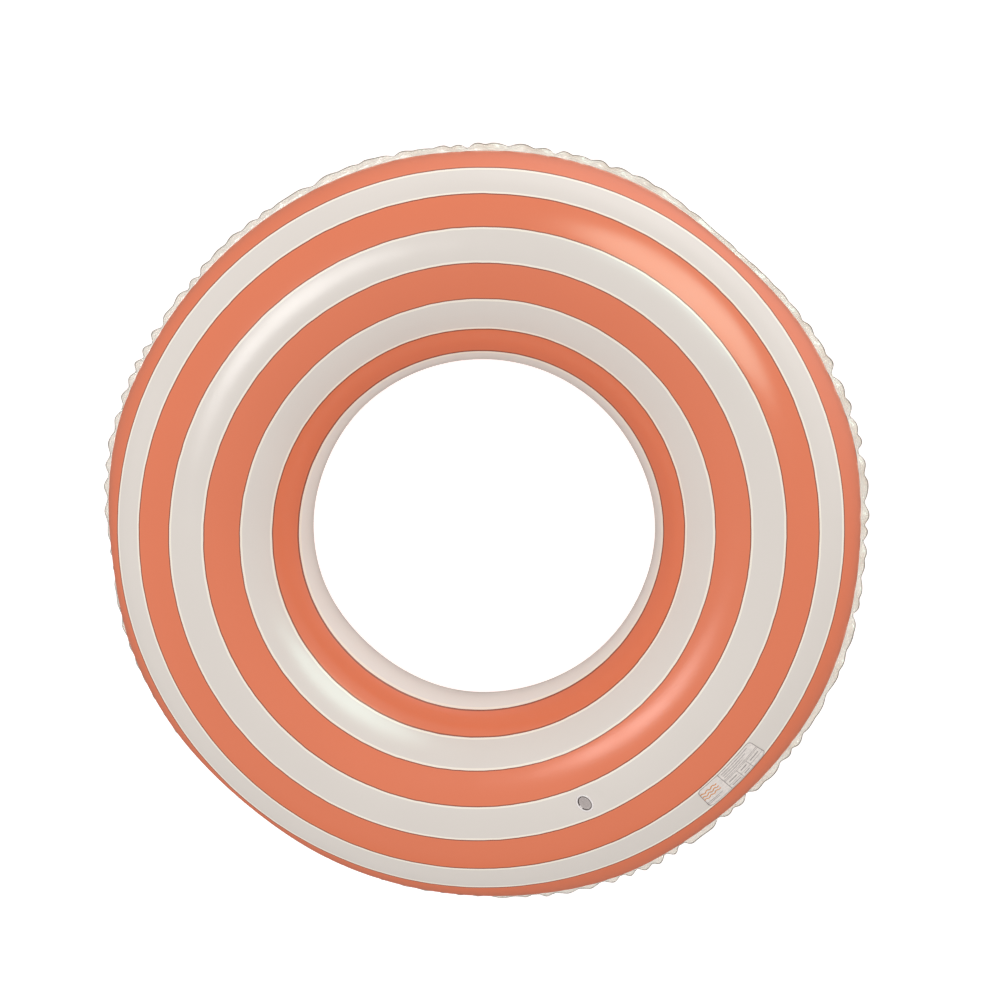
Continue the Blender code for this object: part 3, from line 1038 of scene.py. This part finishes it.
def make_backdrop():
    """A round white wall that rises out of the floor. It is seen by the camera and by nothing else."""
    nodes = Nodes("pale_backdrop")
    nodes.set(Base_Color=BLACK, Specular_IOR_Level=0)
    nodes.set(Emission_Color=WHITE, Emission_Strength=BACKDROP_GLOW)
    bend = np.radians(np.linspace(0, 90, BACKDROP_ROWS))[:, None]
    reach = BACKDROP_REACH * (1 + np.sin(bend)) / 2
    x, y = reach * np.cos(BEARINGS), reach * np.sin(BEARINGS)
    height = ABOVE_FLOOR + BACKDROP_HEIGHT * (1 - np.cos(bend))
    points = np.stack([x, y, height + 0 * x], axis=-1)
    faces = grid_faces(BACKDROP_ROWS, ROUND_STEPS)
    backdrop = mesh_piece("backdrop", points.reshape(-1, 3), faces, nodes.material)
    backdrop.visible_diffuse = False
    backdrop.visible_glossy = False
    backdrop.visible_transmission = False
    backdrop.visible_shadow = False


# ---------------------------------------------------------------- putting it together


def put(piece, slot, body, *nodes):
    """Let a piece stand for CAD nodes, with its body. Its slot is not used."""
    if nodes:
        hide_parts(*nodes)
    if body:
        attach(piece, body)


def dress_node(name, material):
    """Give a CAD node that stays visible its finished material."""
    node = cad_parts[name]
    node.data.materials.clear()
    node.data.materials.append(material)


make_camera()
make_softboxes()
make_studio()
make_floor()
make_backdrop()

vinyl = printed_vinyl()
frill_vinyl = clear_vinyl("frill_vinyl", CLEAR_VINYL, clear=0.66, roughness=0.16, grain=90, relief=0.06)
trimmed_vinyl = clear_vinyl("trimmed_vinyl", TRIMMED_EDGE, clear=0.2, roughness=0.3, grain=90, relief=0.06)
pressed_vinyl = clear_vinyl("pressed_vinyl", WELD_EDGE, clear=0.10, roughness=0.25, grain=90, relief=0.06)
weld_vinyl = clear_vinyl("weld_vinyl", CLEAR_VINYL, clear=0.10, roughness=0.35, grain=120, relief=0.10)
valve_vinyl = clear_vinyl("valve_vinyl", GREY_VINYL, clear=0.10, roughness=0.30, grain=400, relief=0.04)
# The lip's and strap's pale vinyl, painted near-white: partly a painted highlight round the lip's rolled
# edge
pale_vinyl_and_rim_highlight = clear_vinyl("pale_vinyl_and_rim_highlight", PALE_VINYL_AND_RIM_HIGHLIGHT, clear=0.10, roughness=0.28, grain=400, relief=0.04)

front_film = make_front_film(vinyl)
back_film = make_back_film(vinyl)
put(front_film, "printed_film", "ring", "front_panel")
put(back_film, "plain_film", "ring", "back_panel")
put(make_weld_frill(frill_vinyl, trimmed_vinyl, pressed_vinyl), "clear_weld", "ring", "outer_seam")
put(make_inner_weld(weld_vinyl), "clear_weld", "ring", "inner_seam")
put(make_label_ground(printed_ink("label_ground_ink", LABEL_GROUND)), "printed_film", "ring")
put(make_label_lines(printed_ink("label_line_ink", INK)), "printed_film", "ring")
put(make_label_mark(printed_ink("label_mark_ink", LABEL_MARK)), "printed_film", "ring")

put(make_valve_rim(pale_vinyl_and_rim_highlight), "valve_vinyl", "ring", "valve_flange")
put(make_valve_tube(valve_vinyl), "valve_vinyl", "stem", "valve_stem")
put(make_valve_lid(valve_vinyl), "cap_vinyl", "cap", "valve_cap")
cup = make_valve_cup(valve_vinyl)
put(cup, "valve_vinyl", None, "valve_collar")
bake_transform(cup)
strap = make_lid_strap(pale_vinyl_and_rim_highlight)
put(strap, "cap_vinyl", None, "cap_tether")
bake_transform(strap)
dress_node("valve_flap", valve_vinyl)
